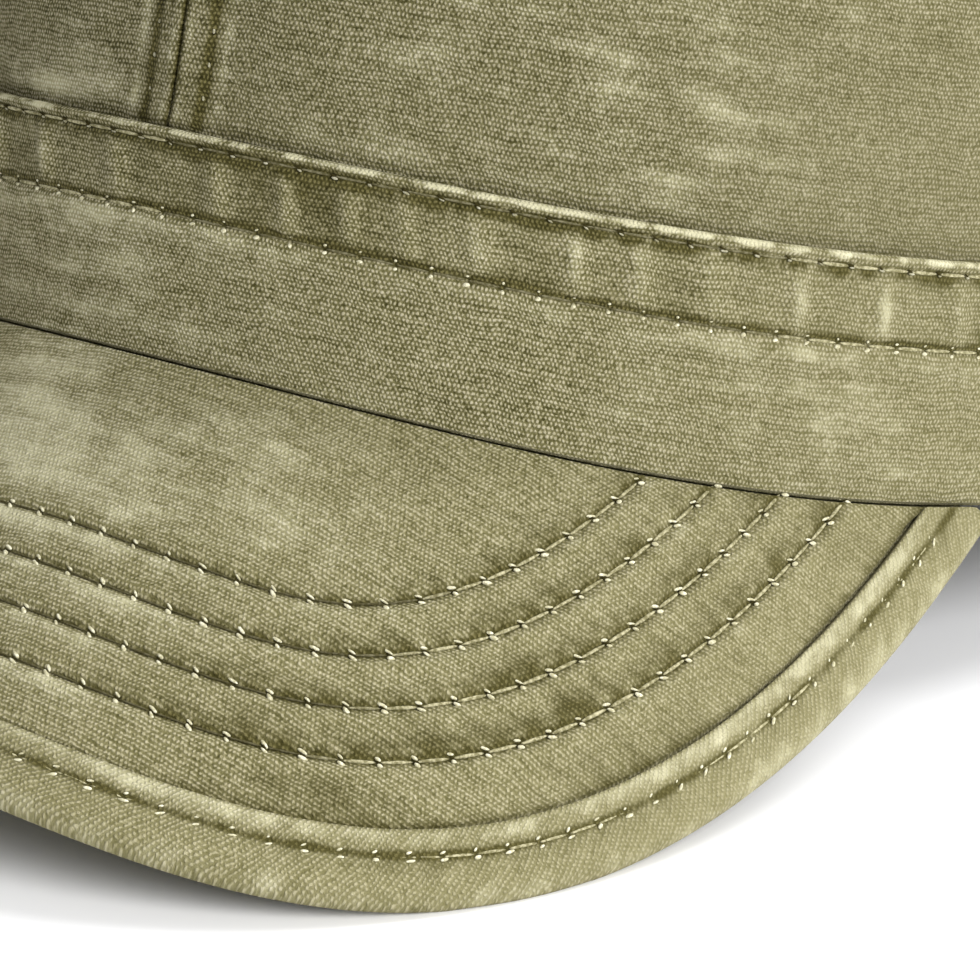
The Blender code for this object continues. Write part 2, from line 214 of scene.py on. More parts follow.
class BandRun:
    """The way round the band's outer face, from the front to the wearer's left."""

    def __init__(self):
        self.angles = np.linspace(-math.pi, math.pi, 4001)
        self.runs = lengths(*outline(self.angles).T)
        self.runs -= np.interp(0.0, self.angles, self.runs)
        self.whole = self.runs[-1] - self.runs[0]
        self.stitch = self.whole / round(self.whole / STITCH)

    def at(self, angle):
        return np.interp(angle, self.angles, self.runs)

    def angle(self, run):
        wrapped = (run - self.runs[0]) % self.whole + self.runs[0]
        return np.interp(wrapped, self.runs, self.angles)


RUN = BandRun()


def crown_point(angle, height, inset):
    heights = [row.height for row in CROWN_SECTIONS]
    width, length, shift = (
        np.interp(height, heights, [getattr(row, column) for row in CROWN_SECTIONS])
        for column in ("width", "length", "shift")
    )
    base = band_point(angle, -inset, np.full_like(height, BAND_HEIGHT))
    side = np.degrees(np.abs(centred(angle)))
    dent = np.zeros_like(height)
    for row in CROWN_DENTS:
        across = (side - row.angle) / row.spread
        along = (height - row.height) / row.reach
        dent += row.depth * CROWN_FRONT_HEIGHT * np.exp(-across * across - along * along)
    dent *= (1.0 - height ** 6) * np.minimum(height / 0.2, 1.0)
    flat = np.stack((base[:, 0] * width, base[:, 1] * length + shift * HALF_LENGTH), -1)
    flat -= outward(angle) * dent[:, None]
    rim = BAND_HEIGHT + blend(CROWN_FRONT_HEIGHT, CROWN_BACK_HEIGHT, 0.5 - 0.5 * np.cos(angle))
    return np.concatenate((flat, blend(base[:, 2], rim, height)[:, None]), -1)


class PeakShape:
    """Carries the peak's flat pattern (u across, v forward) onto its bent surface."""

    def __init__(self):
        self.forward = np.array((0.0, -math.cos(PEAK_SLOPE), -math.sin(PEAK_SLOPE)))
        self.upward = np.array((0.0, -math.sin(PEAK_SLOPE), math.cos(PEAK_SLOPE)))
        self.angles = np.linspace(-1.35, 1.35, 1081)
        root = band_point(self.angles, GAP, np.zeros(1081))
        self.x = root[:, 0]
        self.rise = root @ self.upward
        self.ahead = root @ self.forward
        across = lengths(self.x, self.rise)
        self.u = across - np.interp(0.0, self.angles, across)
        self.start = float(np.interp(0.0, self.angles, self.ahead))
        self.slope_x = np.gradient(self.x, self.u)
        self.slope_rise = np.gradient(self.rise, self.u)

    def root_flat(self, angle):
        u = np.interp(angle, self.angles, self.u)
        return np.stack((u, np.interp(angle, self.angles, self.ahead) - self.start), -1)

    def normal(self, flat):
        u = flat[:, 0]
        normal = np.interp(u, self.u, self.slope_x)[:, None] * self.upward
        normal[:, 0] -= np.interp(u, self.u, self.slope_rise)
        return normal / np.linalg.norm(normal, axis=1, keepdims=True)

    def lift(self, flat, above):
        u, v = flat[:, 0], flat[:, 1]
        rise = np.interp(u, self.u, self.rise)[:, None]
        place = (v + self.start)[:, None] * self.forward + rise * self.upward
        place[:, 0] += np.interp(u, self.u, self.x)
        return place + np.expand_dims(above, -1) * self.normal(flat)


PEAK = PeakShape()


class PeakOutline:
    """The peak's outer edge on its flat pattern, evenly spaced, with inward normals and room behind it."""

    def __init__(self):
        power = 2.0 / PEAK_ROUNDNESS
        turn = np.linspace(-0.5 * math.pi, 0.5 * math.pi, 1441)
        side, front = np.sin(turn), np.maximum(np.cos(turn), 0.0)
        u = PEAK_HALF_WIDTH * np.sign(side) * np.abs(side) ** power
        v = PEAK_DEPTH - PEAK_CORNER_DEPTH + PEAK_CORNER_DEPTH * front ** power
        length = lengths(u, v)
        self.run = np.linspace(0.0, length[-1], 2401)
        self.points = np.stack((np.interp(self.run, length, u), np.interp(self.run, length, v)), -1)
        along = np.gradient(self.points, axis=0)
        along /= np.linalg.norm(along, axis=1)[:, None]
        self.inward = np.stack((along[:, 1], -along[:, 0]), -1)
        self.room = self.room_behind()
        self.run -= 0.5 * length[-1]

    def room_behind(self):
        root = PEAK.root_flat(PEAK.angles)
        rooms = []
        for point, normal in zip(self.points, self.inward):
            offset = root - point
            ahead = offset @ normal
            aside = offset @ np.array((-normal[1], normal[0]))
            crossings = np.where(aside[:-1] * aside[1:] <= 0.0)[0]
            shares = aside[crossings] / (aside[crossings] - aside[crossings + 1])
            reach = ahead[crossings] + (ahead[crossings + 1] - ahead[crossings]) * shares
            rooms.append(float(reach.min()) if len(reach) else -1.0)
        return np.array(rooms)

    def stretch(self, count):
        """Even stations along the edge, as far as the binding on it stays clear of the band."""
        kept = np.where(self.room >= 2.0 * BINDING_THICKNESS + 3.0 * GAP)[0]
        picks = np.linspace(kept[0], kept[-1], count)
        whole = np.arange(len(self.run))
        columns = np.column_stack((self.points, self.inward, self.room, self.run))
        read = [np.interp(picks, whole, column) for column in columns.T]
        return np.stack(read[:2], -1), np.stack(read[2:4], -1), read[4], read[5]


EDGE = PeakOutline()


# The cap at rest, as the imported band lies

class Rest:
    def __init__(self, band):
        points = np.array([vert.co for vert in band.data.vertices])
        middle = points[np.abs(points[:, 0]) < 1e-5]
        front = middle[middle[:, 1] < 0.0]
        back = middle[middle[:, 1] > 0.0]
        front = front[front[:, 2].argmax()]
        back = back[back[:, 2].argmax()]
        fold = np.array((-0.5 * OVERLAP_THICKNESS, -0.5 * OVERLAP_THICKNESS))
        ends = band_point(np.array((0.0, math.pi)), fold, np.full(2, BAND_HEIGHT))
        worn = ends[1] - ends[0]
        lain = back - front
        pitch = math.atan2(lain[2], lain[1]) - math.atan2(worn[2], worn[1])
        self.turn = np.array(Matrix.Rotation(pitch, 3, "X"))
        self.shift = front - self.turn @ ends[0]

    def place(self, points):
        return points @ self.turn.T + self.shift

    def direction(self, vectors):
        return vectors @ self.turn.T


# Making cloth

def grid(name, columns, rows, size):
    mesh = bmesh.new()
    bmesh.ops.create_grid(mesh, x_segments=columns, y_segments=rows, size=size)
    data = bpy.data.meshes.new(name)
    mesh.to_mesh(data)
    mesh.free()
    return data


def added(name, data):
    """A new object in the scene."""
    made = bpy.data.objects.new(name, data)
    bpy.context.scene.collection.objects.link(made)
    return made


def cloth_mesh(name, columns, rows, shape, closed):
    """A grid of columns by rows that shape(i, j) bends: points, thread coordinates, and wear with painted
    shading.
    """
    data = grid(name, columns, rows, 1.0)
    flat = np.empty(len(data.vertices) * 3)
    data.vertices.foreach_get("co", flat)
    flat = flat.reshape(-1, 3)
    i = np.rint((flat[:, 0] + 1.0) / 2.0 * columns).astype(int)
    j = np.rint((flat[:, 1] + 1.0) / 2.0 * rows).astype(int)
    points, threads, wear_and_shading = shape(i, j)
    points = REST.place(points)
    points[:, 2] = np.maximum(points[:, 2], 0.0)
    data.vertices.foreach_set("co", points.ravel())
    corners = np.empty(len(data.loops), dtype=np.int32)
    data.loops.foreach_get("vertex_index", corners)
    layer = data.uv_layers.new(name="threads")
    layer.data.foreach_set("uv", (threads[corners] * 1000.0).ravel())
    # paler where worn and where light is painted, darker where shade is painted
    worn = data.attributes.new("wear_and_shading", "FLOAT", "POINT")
    worn.data.foreach_set("value", wear_and_shading)
    mesh = bmesh.new()
    mesh.from_mesh(data)
    bmesh.ops.remove_doubles(mesh, verts=mesh.verts, dist=1e-6)
    if not closed:
        rims = [edge for edge in mesh.edges if edge.is_boundary]
        bmesh.ops.holes_fill(mesh, edges=rims, sides=0)
    bmesh.ops.recalc_face_normals(mesh, faces=mesh.faces)
    mesh.to_mesh(data)
    mesh.free()
    data.shade_smooth()
    return data


def dress(name, data, material, node):
    data.materials.append(material)
    piece = added(name, data)
    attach(piece, "root")
    if node:
        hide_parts(node)


def holes_near(run, pitch, width):
    """How near a place on a row of stitches is to a needle hole, 1 at the hole."""
    share = run / pitch
    return np.exp(-(((share - np.rint(share)) * pitch / width) ** 2))


def sewn_groove(place, row, width, depth, hole):
    """The groove that a row of stitches pulls into the cloth, deeper at its holes."""
    return -depth * hump(place, row, width) * (0.7 + 0.5 * hole)


Line = namedtuple("Line", "place width proud uneven worn ragged", defaults=(0.0, 0.0, 0.0, 0.0))


def lines_along(lines, place, shake):
    """What lines along a piece add to its relief and to its wear and painted shading. A dark line has less
    than none; most dark lines are painted shade.
    """
    relief, wear_and_shading = np.zeros_like(place), np.zeros_like(place)
    for line in lines:
        near = hump(place, line.place, line.width)
        relief += near * (line.proud + line.uneven * shake)
        wear_and_shading += near * (line.worn + line.ragged * shake)
    return relief, wear_and_shading


# The band

def pucker_places():
    places = list(SEEN_PUCKERS)
    shake = np.random.default_rng(5)
    run = SEEN_PUCKERS[-1] + PUCKER_PITCH
    end = SEEN_PUCKERS[0] + RUN.whole
    while run < end - 0.6 * PUCKER_PITCH:
        places.append(run)
        run += PUCKER_PITCH * (0.8 + 0.45 * shake.random())
    return np.array(places)


def pucker_crest(run):
    """Soft upright crests in the strip, of uneven width and height."""
    places = pucker_places()
    shake = np.random.default_rng(8)
    total = np.zeros_like(run)
    for place in places:
        width = 0.00125 * (0.75 + 0.6 * shake.random())
        height = 0.60 + 0.5 * shake.random()
        away = (run - place + 0.5 * RUN.whole) % RUN.whole - 0.5 * RUN.whole
        total = np.maximum(total, height * np.exp(-((away / width) ** 2)))
    return total


FOLD_LINE = BAND_HEIGHT - 0.0002
FOLD_LINE_WIDTH = 0.00062
BAND_LINES = (
    # place up the band, half width, how proud it stands and how unevenly, how worn it is (below 0: how dark
    # with painted shade) and how raggedly
    Line(FOLD_LINE, FOLD_LINE_WIDTH, 0.00020, 0.00012, 1.45, 1.30),
    Line(LOW_ROW - 0.0017, 0.0011, 0.00018, 0.00005, 0.22, 0.12),
    # painted shade in the groove just above the lower row of stitches
    Line(LOW_ROW + 0.0003, 0.00055, worn=-1.30, ragged=-0.52),
    # painted shade in the groove under the folded top edge
    Line(TOP_ROW - 0.0003, 0.00080, worn=-1.35, ragged=-0.945),
)
PUCKER_SLANT = 0.0012
PUCKER_HEIGHT = 0.00072
STRIP_SINK = 0.00018
BAND_HOLE_WIDTH = 0.00055


def band_relief(run, up):
    """How far the outer face stands proud, and its wear and painted shading, at a place along and up the
    band.
    """
    share = np.clip((up - LOW_ROW) / (TOP_ROW - LOW_ROW), 0.0, 1.0)
    belly = np.sin(math.pi * share) ** 0.8
    hole = holes_near(run, RUN.stitch, BAND_HOLE_WIDTH)
    crest = pucker_crest(run + PUCKER_SLANT * (share - 0.5))
    shake = swelling("band_shake", run, up)
    drift = swelling("band_drift", run, up)
    plain = np.clip((LOW_ROW - up) / 0.003, 0.0, 1.0)
    strip = 1.0 / (1.0 + np.exp((LOW_ROW - up) / 0.0002))
    relief, wear_and_shading = lines_along(BAND_LINES, up, shake)
    relief += sewn_groove(up, LOW_ROW, 0.00050, 0.00038, hole)
    relief += sewn_groove(up, TOP_ROW, 0.00045, 0.00034, hole)
    relief += 0.00010 * hump(up, FOLD_LINE, FOLD_LINE_WIDTH) * (1.0 - hole)
    relief += belly * (PUCKER_HEIGHT * crest - STRIP_SINK)
    relief += 0.00024 * drift * (0.35 + 0.65 * plain) * np.clip(up / 0.004, 0.0, 1.0)
    # pucker crests paler: worn, and partly a painted highlight; the strip darker
    wear_and_shading += crest * belly ** 0.6 - 0.64 * strip + 0.14 * drift
    # painted light and shade: darker at the front, paler away from it and most on the strip, and a painted
    # pale patch just to the wearer's right of the front
    aside = np.abs(run)
    wear_and_shading += (0.05 + 0.25 * strip) * np.tanh((aside - 0.028) / 0.020)
    wear_and_shading += 0.13 * softened(np.clip((aside - 0.045) / 0.040, 0.0, 1.0)) + 0.52 * hump(run, -0.010, 0.014)
    return relief, wear_and_shading


EDGE_ROUND = 0.0004  # of the band's lower edge


def band_section():
    """The section, row by row: out from the outer face, up from the lower edge, and the relief's share."""
    low = np.linspace(EDGE_ROUND, LOW_ROW, 44)
    high = np.linspace(LOW_ROW, BAND_HEIGHT - FOLD_RADIUS, 28)[1:]
    face = np.concatenate((low, high))
    turn = np.linspace(0.0, math.pi, 9)[1:]
    inner = np.linspace(LOW_ROW + GAP, EDGE_ROUND, 20)
    corner = np.linspace(0.0, 0.5 * math.pi, 4)[1:]
    cosine, sine = np.cos(corner), np.sin(corner)
    stretches = (
        (0.0 * face, face, 1.0 + 0.0 * face),
        (
            0.5 * OVERLAP_THICKNESS * (np.cos(turn) - 1.0),
            BAND_HEIGHT - FOLD_RADIUS + FOLD_RADIUS * np.sin(turn),
            0.5 + 0.5 * np.cos(turn),
        ),
        ((-OVERLAP_THICKNESS, -BAND_THICKNESS), (LOW_ROW + GAP, LOW_ROW), (0.0, 0.0)),
        (0.0 * inner - BAND_THICKNESS, inner, 0.0 * inner),
        (EDGE_ROUND * (1.0 - cosine) - BAND_THICKNESS, EDGE_ROUND * (1.0 - sine), 0.0 * sine),
        (-EDGE_ROUND * (1.0 - sine), EDGE_ROUND * (1.0 - cosine), sine),
    )
    return [np.concatenate(column)[:-1] for column in zip(*stretches)]


def make_band(material):
    out, up, share = band_section()
    columns, rows = 900, len(out)
    closer, left = 0.36, 0.6  # the columns lie closer together round the front and left
    climbed = lengths(out, up)

    def shape(i, j):
        j = j % rows
        turn = 2.0 * math.pi * i / columns - math.pi + left
        angle = turn - closer * np.sin(turn - left)
        run = RUN.at(centred(angle))
        relief, wear_and_shading = band_relief(run, up[j])
        points = band_point(angle, out[j] + relief * share[j], up[j])
        length = RUN.at(np.clip(angle, -math.pi, math.pi)) + np.maximum(angle - math.pi, 0.0) * HALF_WIDTH
        return points, np.stack((length, climbed[j]), -1), wear_and_shading * share[j]

    data = cloth_mesh("band_cloth", columns, rows, shape, True)
    dress("band_cloth", data, material, "band")


# The crown

def seam_distance(angle):
    """How far a place lies from the nearer centre seam, along the cloth."""
    front = RUN.at(np.abs(centred(angle)))
    return np.minimum(front, RUN.runs[-1] - front)


def seam_lean(angle, height):
    """The front seam is drawn a little aside just above the band."""
    foot = np.exp(-height * CROWN_FRONT_HEIGHT / SEAM_LEAN_HEIGHT)
    return SEAM_LEAN * foot * hump(angle, 0.0, 0.35)


CROWN_LINES = (
    # away from a centre seam, half width, how proud it stands and how unevenly, how worn it is (below 0: how
    # dark)
    Line(0.0, 0.0004, worn=-1.90),
    Line(0.0007, 0.0008, 0.00022, worn=0.50),
    # painted shade in the groove of each row of stitches
    Line(SEAM_STITCHES, 0.0006, worn=-1.70),
    Line(SEAM_HALF_WIDTH + 0.0013, 0.0008, worn=0.55),
)
SEAM_HOLE_WIDTH = 0.0006


def crown_relief(angle, height):
    """How far the wall stands proud, and its wear and painted shading, at an angle and a share of its height.
    """
    run = RUN.at(centred(angle))
    climbed = height * CROWN_FRONT_HEIGHT
    from_seam = seam_distance(angle)
    hole = holes_near(climbed, STITCH, SEAM_HOLE_WIDTH)
    rib = 1.0 / (1.0 + np.exp((from_seam - SEAM_HALF_WIDTH) / 0.00025))
    shake = swelling("crown_shake", run, climbed)
    drift = swelling("crown_drift", run, climbed)
    relief, wear_and_shading = lines_along(CROWN_LINES, from_seam, shake)
    relief += SEAM_RIB * rib + sewn_groove(from_seam, SEAM_STITCHES, 0.00045, 0.00034, hole)
    relief += 0.00010 * shake * rib + 0.00032 * drift * np.clip((from_seam - 0.003) / 0.006, 0.2, 1.0)
    # the last term is a painted shadow on the wall just above the band, under its folded top edge
    wear_and_shading += 0.14 * drift + 0.20 * shake * rib - 1.4 * hump(climbed, 0.0, 0.0005)
    # painted light and shade: darker near the front, paler away from it, and paler low on the wall just to
    # the wearer's right of the front seam
    wear_and_shading += 0.07 * np.tanh((np.abs(run) - 0.030) / 0.020)
    wear_and_shading += 1.12 * hump(run, -0.014, 0.010) * np.exp(-climbed / 0.012)
    wear_and_shading += 0.5 * hump(height, 1.0, 0.012)
    return relief, wear_and_shading


def make_crown_half(name, side, material):
    inset = OVERLAP_THICKNESS + GAP
    columns = 380
    hidden = np.linspace(LOW_ROW + 3.0 * GAP, BAND_HEIGHT - FOLD_RADIUS, 6)
    wall = np.linspace(0.0, 1.0, 109)[1:]
    inner = np.linspace(1.0, 0.0, 21)[:-1]
    outside, inside = np.concatenate((hidden, wall)), np.concatenate((inner, hidden[::-1]))
    value = np.concatenate((outside, inside))
    rows = len(value)
    row = np.arange(rows)
    hides = (row < len(hidden)) | (row >= rows - len(hidden))
    depth = np.where(row < len(outside), 0.0, CROWN_THICKNESS)
    first = GAP / 2.0 / (HALF_WIDTH * (1.0 - FRONT_NARROWING))
    last = math.pi - GAP / 2.0 / (HALF_WIDTH * (1.0 + FRONT_NARROWING))

    def shape(i, j):
        j = j % rows
        share = i / columns
        spread = share - 0.2 / math.pi * np.sin(2.0 * math.pi * share)  # closer together by the seams
        angle = side * (first + (last - first) * spread)
        hid = hides[j]
        height = np.where(hid, 0.0, value[j])
        up = np.where(hid, value[j], BAND_HEIGHT)
        relief, wear_and_shading = crown_relief(angle, height)
        angle = angle + seam_lean(angle, height)
        showing = np.where(depth[j] > 0.0, 0.0, 1.0) * np.where(hid, 0.0, 1.0)
        below = band_point(angle, -inset - depth[j], up)
        above = crown_point(angle, height, inset + depth[j])
        points = np.where(hid[:, None], below, above)
        points[:, :2] += outward(angle) * (relief * showing)[:, None]
        run = RUN.at(angle)
        climbed = up + height * CROWN_FRONT_HEIGHT
        return points, np.stack((run, climbed), -1), wear_and_shading * showing

    data = cloth_mesh(name, columns, rows, shape, False)
    dress(name, data, material, name.replace("_cloth", ""))


def top_point(angle, share, depth):
    inset = OVERLAP_THICKNESS + GAP
    shift = CROWN_SECTIONS[-1].shift
    centre = np.array((0.0, shift * HALF_LENGTH))
    middle = BAND_HEIGHT + blend(CROWN_FRONT_HEIGHT, CROWN_BACK_HEIGHT, 0.5)
    rim = crown_point(angle, np.ones_like(angle), inset)
    flat = centre + (rim[:, :2] - centre) * share[:, None]
    dome = TOP_DOME * (1.0 - share * share)
    wave = TOP_WAVE * np.cos(3.0 * angle) * np.sin(math.pi * share)
    height = blend(middle, rim[:, 2], share) + GAP + CROWN_THICKNESS + dome + wave - depth
    return np.concatenate((flat, height[:, None]), -1)


TOP_SEWN = 0.960  # the ring of stitches on the top panel, as a share of the way out
TOP_ROUNDED = 0.985  # where the panel's edge starts to turn down
TOP_RING = 0.94 * RUN.whole * TOP_SEWN  # the length of the ring of stitches
TOP_LINES = (
    # place as a share of the way out, half width, how proud it stands and how unevenly, how worn it is (below
    # 0: how dark with painted shade)
    # painted shade along the groove of the ring of stitches
    Line(TOP_SEWN, 0.006, worn=-0.7),
    Line(TOP_ROUNDED, 0.012, 0.0002, worn=0.6),
)


def make_crown_top(material):
    columns = 420
    top = np.linspace(0.0, TOP_ROUNDED, 66)
    turn = np.linspace(0.0, math.pi, 7)[1:-1]
    under = np.linspace(TOP_ROUNDED, 0.0, 14)
    share = np.concatenate((top, TOP_ROUNDED + (1.0 - TOP_ROUNDED) * np.sin(turn), under))
    bottom = CROWN_THICKNESS
    depth = np.concatenate((0.0 * top, 0.5 * bottom * (1.0 - np.cos(turn)), 0.0 * under + bottom))
    rows = len(share) - 1
    pitch = TOP_RING / round(TOP_RING / STITCH)

    def shape(i, j):
        angle = 2.0 * math.pi * i / columns
        out = share[j]
        points = top_point(angle, out, depth[j])
        x, y = points[:, 0], points[:, 1]
        hole = holes_near(i / columns * TOP_RING, pitch, SEAM_HOLE_WIDTH)
        drift = swelling("top_drift", x, y)
        relief, wear_and_shading = lines_along(TOP_LINES, out, 0.0)
        relief += 0.00055 * drift * (1.0 - out ** 6) + sewn_groove(out, TOP_SEWN, 0.006, 0.00034, hole)
        points[:, 2] += relief * (depth[j] < bottom)
        return points, np.stack((x, y), -1), (wear_and_shading + 0.10 * drift) * (depth[j] < 0.5 * bottom)

    data = cloth_mesh("crown_top_cloth", columns, rows, shape, True)
    dress("crown_top_cloth", data, material, "crown_top")


# The peak

def row_holes(inset, phase):
    """The needle holes of a row that follows the peak's edge, left to right on its flat pattern."""
    flat = (EDGE.points + EDGE.inward * inset)[EDGE.room > inset - 0.0015]
    length = lengths(*flat.T)
    places = np.arange(phase * STITCH, length[-1], STITCH)
    return np.stack([np.interp(places, length, flat[:, k]) for k in (0, 1)], -1)


ROW_PHASES = (0.2, 0.7, 0.4, 0.9)


def nearest(points, flat):
    tree = KDTree(len(points))
    for index, point in enumerate(points):
        tree.insert((point[0], point[1], 0.0), index)
    tree.balance()
    found = [tree.find((place[0], place[1], 0.0)) for place in flat]
    return np.array([hit[1] for hit in found]), np.array([hit[2] for hit in found])


PEAK_ROW_LINES = (
    # inward from a row of stitches, half width, how proud it stands and how unevenly, how worn it is (below
    # 0: how dark with painted shade)
    Line(-0.0013, 0.0009, worn=0.25),
    Line(-0.0013, 0.0008, 0.00014),
    Line(0.0, 0.00055, -0.00042),
    # painted shade in each row's groove and on its inner side
    Line(0.0001, 0.00048, worn=-1.20),
    Line(0.0011, 0.0009, worn=-0.45),
    Line(0.0014, 0.0010, 0.00010),
)
OUTER_ROWS = 0.034  # the part of the peak, in from its outer edge, that is darkened with painted shade


def peak_relief(flat):
    """How far the peak's upper face stands proud, and its wear and painted shading, at places on its flat
    pattern.
    """
    _index, inward = nearest(EDGE.points, flat)
    holes = np.concatenate([row_holes(inset, phase) for inset, phase in zip(PEAK_ROWS, ROW_PHASES)])
    _index, away = nearest(holes, flat)
    u, v = flat[:, 0], flat[:, 1]
    shake = swelling("peak_shake", u, v)
    drift = swelling("peak_drift", u, v)
    relief = 0.00018 * drift + 0.00004 * shake - 0.00016 * hump(away, 0.0, 0.00060)
    wear_and_shading = 0.05 + 0.18 * drift + 0.10 * shake + 0.35 * hump(away, 0.0009, 0.0004)
    for inset in PEAK_ROWS:
        row_relief, row_wear = lines_along(PEAK_ROW_LINES, inward - inset, shake)
        relief += row_relief
        wear_and_shading += row_wear
    # painted shade over the outer rows
    wear_and_shading -= 0.22 * np.clip((OUTER_ROWS - inward) / 0.012, 0.0, 1.0)
    # painted light just to the wearer's right of the middle, painted shade towards the sides
    wear_and_shading += 0.62 * hump(u, -0.008, 0.014) - 0.12 * np.clip((np.abs(u) - 0.028) / 0.02, 0.0, 1.0)
    # painted shade at the step beside the binding
    wear_and_shading -= 0.60 * hump(inward, BINDING_WIDTH + 0.0004, 0.0008)
    return relief, wear_and_shading


Tuck = namedtuple("Tuck", "back above")
PEAK_TUCKS = (
    # back from the peak's root line and above the band's edge: the cloth goes under the band and up behind it
    Tuck(0.0033, -0.0006),
    Tuck(0.0033, 0.0011),
    Tuck(0.0027, 0.0011),
    Tuck(0.0025, -0.0002),
    Tuck(0.0020, -0.00032),
    Tuck(0.0011, -0.00032),
    Tuck(0.0006, -0.00032),
    Tuck(0.0002, -0.00012),
)


def make_peak(material):
    step_at = BINDING_WIDTH + GAP
    shoulder = step_at + GAP
    tip = BINDING_THICKNESS + GAP
    columns = 480
    run, inward, room, _along = EDGE.stretch(columns + 1)
    shoulders = np.minimum(shoulder, room - 0.3 * GAP)[:, None]
    flats = PEAK.root_flat(PEAK.angles)
    ends = []
    for index in (0, -1):
        met = run[index] + inward[index] * room[index]
        ends.append(PEAK.angles[int(np.hypot(*(flats - met).T).argmin())])
    root_angles = np.linspace(ends[0], ends[1], columns + 1)
    root = PEAK.root_flat(root_angles)
    low = -PEAK_THICKNESS
    top_rows, under_rows = 128, 50
    top_share = np.linspace(0.0, 1.0, top_rows)
    under_share = np.linspace(1.0, 0.0, under_rows)
    rim_in = np.array((step_at, 3.0 * tip, tip + 0.5 * tip, tip, tip + 0.5 * tip, 3.0 * tip, step_at))
    rim_high, rim_low = -PEAK_EDGE_STEP, low + PEAK_EDGE_STEP
    rim_above = np.array((rim_high, rim_high, rim_high, 0.5 * low, rim_low, rim_low, rim_low))
    tucks = len(PEAK_TUCKS)
    tuck_back, tuck_above = (np.array(column) for column in zip(*PEAK_TUCKS))
    rim_rows = len(rim_in)
    rows = tucks + top_rows + rim_rows + under_rows
    face = root[:, None] + (run + inward * shoulders - root)[:, None] * top_share[None, :, None]
    relief, wear_and_shading = (values.reshape(columns + 1, top_rows) for values in peak_relief(face.reshape(-1, 2)))
    relief *= np.minimum(top_share / 0.03, 1.0)

    def shape(i, j):
        j = j % rows - tucks
        tucked = j < 0
        under = j >= top_rows + rim_rows
        on_top = (j >= 0) & (j < top_rows)
        on_rim = ~(tucked | on_top | under)
        top_row = np.clip(j, 0, top_rows - 1)
        rim = np.clip(j - top_rows, 0, rim_rows - 1)
        under_row = np.clip(j - top_rows - rim_rows, 0, under_rows - 1)
        share = np.where(under, under_share[under_row], top_share[top_row])
        flat = root[i] + (run[i] + inward[i] * shoulders[i] - root[i]) * share[:, None]
        rim_inset = np.minimum(rim_in[rim][:, None], shoulders[i])
        flat = np.where(on_rim[:, None], run[i] + inward[i] * rim_inset, flat)
        above = np.where(on_rim, rim_above[rim], np.where(on_top, relief[i, top_row], low))
        points = PEAK.lift(flat, above)
        tuck = np.clip(j + tucks, 0, tucks - 1)
        back = tuck_back[tuck]
        under_band = band_point(root_angles[i], GAP - back, np.zeros(len(i)))
        under_band[:, 2] += tuck_above[tuck]
        points = np.where(tucked[:, None], under_band, points)
        flat[:, 1] -= np.where(tucked, back, 0.0)
        # the cloth tucked under the band is darkened with painted shade
        return points, flat, np.where(on_top, wear_and_shading[i, top_row], np.where(tucked, -0.3, 0.0))

    data = cloth_mesh("peak_cloth", columns, rows, shape, False)
    dress("peak_cloth", data, material, "peak")


# The binding

BULGE = BINDING_ROW + 0.62 * (BINDING_WIDTH - BINDING_ROW)
BULGE_WIDTH = 0.0006
BINDING_LINES = (
    # in from the outer edge, half width, how proud it is and how unevenly, how worn it is (below 0: how dark
    # with painted shade) and how raggedly
    Line(-0.0006, 0.0022, worn=0.60),
    # painted shade at the row of stitches and in its groove
    Line(BINDING_ROW - 0.0010, 0.0008, worn=-0.25),
    Line(BINDING_ROW + 0.0001, 0.00045, worn=-1.25, ragged=-0.50),
    # the pale roll: worn, and partly a painted highlight
    Line(BULGE, BULGE_WIDTH, 0.00008, worn=0.495, ragged=0.33),
    Line(BINDING_WIDTH - 0.0002, 0.00035, 0.00006, 0.000048, 0.45),
)
INNER_GAP = 0.3 * GAP  # between the binding's inner edge and the step in the peak


